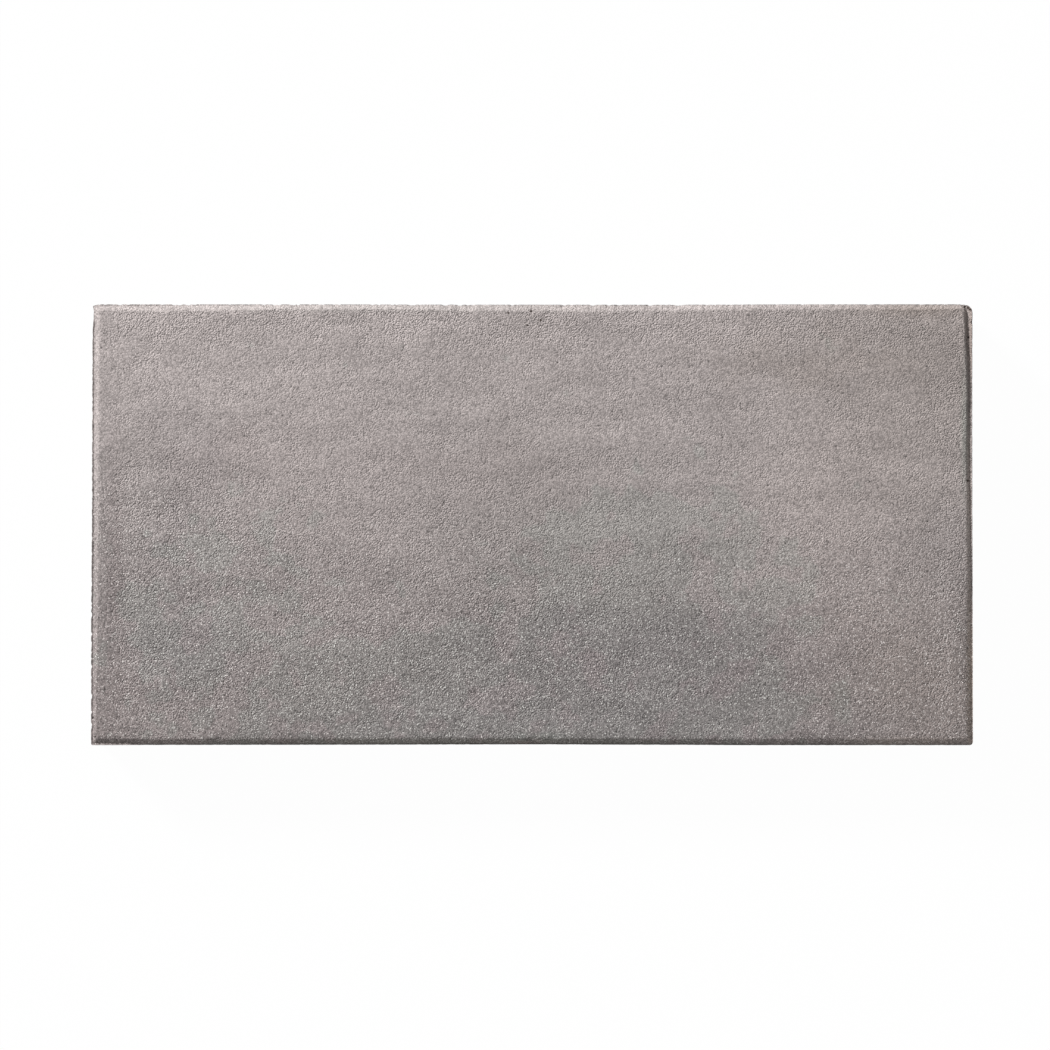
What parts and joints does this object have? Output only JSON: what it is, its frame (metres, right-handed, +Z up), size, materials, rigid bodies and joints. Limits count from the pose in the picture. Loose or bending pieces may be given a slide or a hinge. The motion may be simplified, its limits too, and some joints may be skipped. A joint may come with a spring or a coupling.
{
  "type": "concrete paving slab",
  "caption": "Flat rectangular pressed concrete paving slab with a chamfered walking face, laid on a sand or mortar bed to surface paths, terraces and pavements.",
  "frame": {"origin": "centre of the bed, the underside that lies on the ground", "axes": "+X along the slab's length, +Y across its width, +Z up out of the walking face"},
  "size_m": [0.6, 0.3, 0.05],
  "materials": {
    "concrete": "matte"
  },
  "bodies": {
    "root": {"paving_slab": "concrete"}
  },
  "joints": []
}
